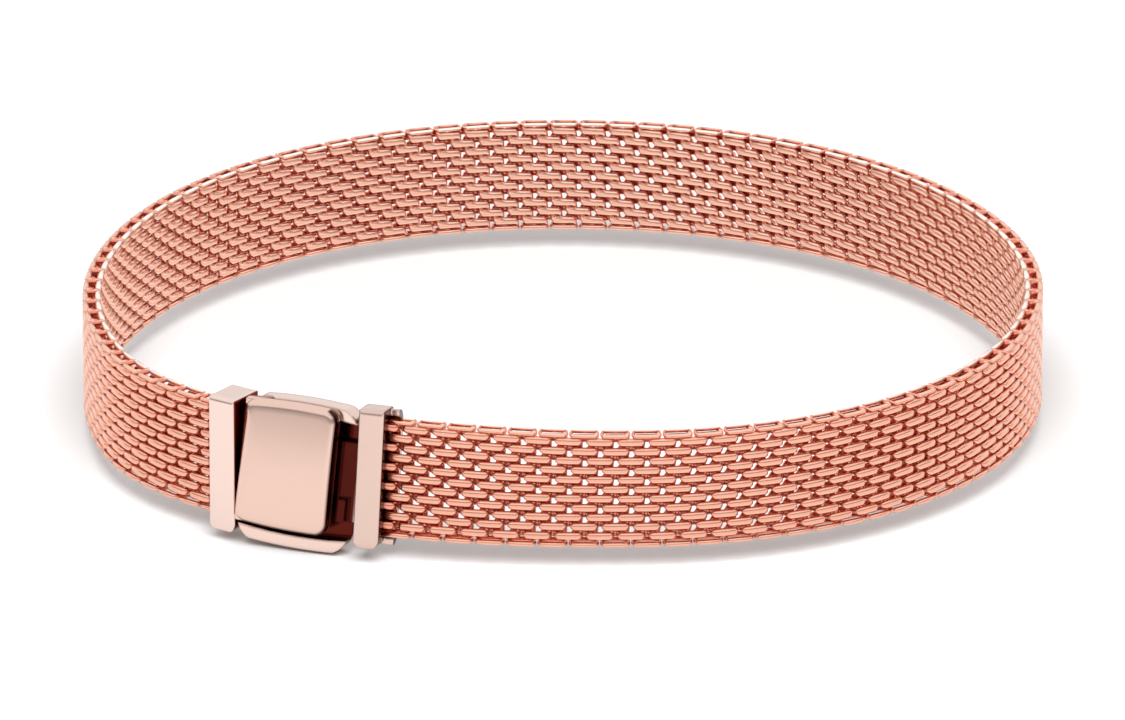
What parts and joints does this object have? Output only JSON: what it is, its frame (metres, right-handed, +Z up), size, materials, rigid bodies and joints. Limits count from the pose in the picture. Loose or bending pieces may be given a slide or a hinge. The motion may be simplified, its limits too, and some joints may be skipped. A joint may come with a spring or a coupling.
{
  "type": "mesh bracelet",
  "caption": "Closed loop of flat woven wire mesh with polished end caps and a box clasp whose pillow-shaped lid swings open on an upright pin.",
  "frame": {"origin": "middle of the loop's footprint, on the surface that the loop stands on", "axes": "+Z up, across the width of the band; -Y towards the front, where the clasp is, left of the middle; +X to the right seen from the front"},
  "size_m": [0.0632, 0.0617, 0.0101],
  "materials": {
    "mesh": "satin rose gold wire",
    "caps": "polished rose gold",
    "base": "polished rose gold",
    "lid": "polished rose gold",
    "pin": "plain drawn pin"
  },
  "bodies": {
    "bracelet": {"mesh_band": "mesh", "left_end_cap": "caps", "clasp_base": "base", "hinge_pin": "pin", "right_end_cap": "caps"},
    "lid": {"clasp_lid": "lid"}
  },
  "joints": [
    {"name": "lid_hinge", "type": "hinge", "parent": "bracelet", "child": "lid", "pos_m": [-0.01999, -0.02641, 0.00528], "axis": [-0.0998, -0.1311, -0.9863], "range_deg": [0, 75]}
  ]
}
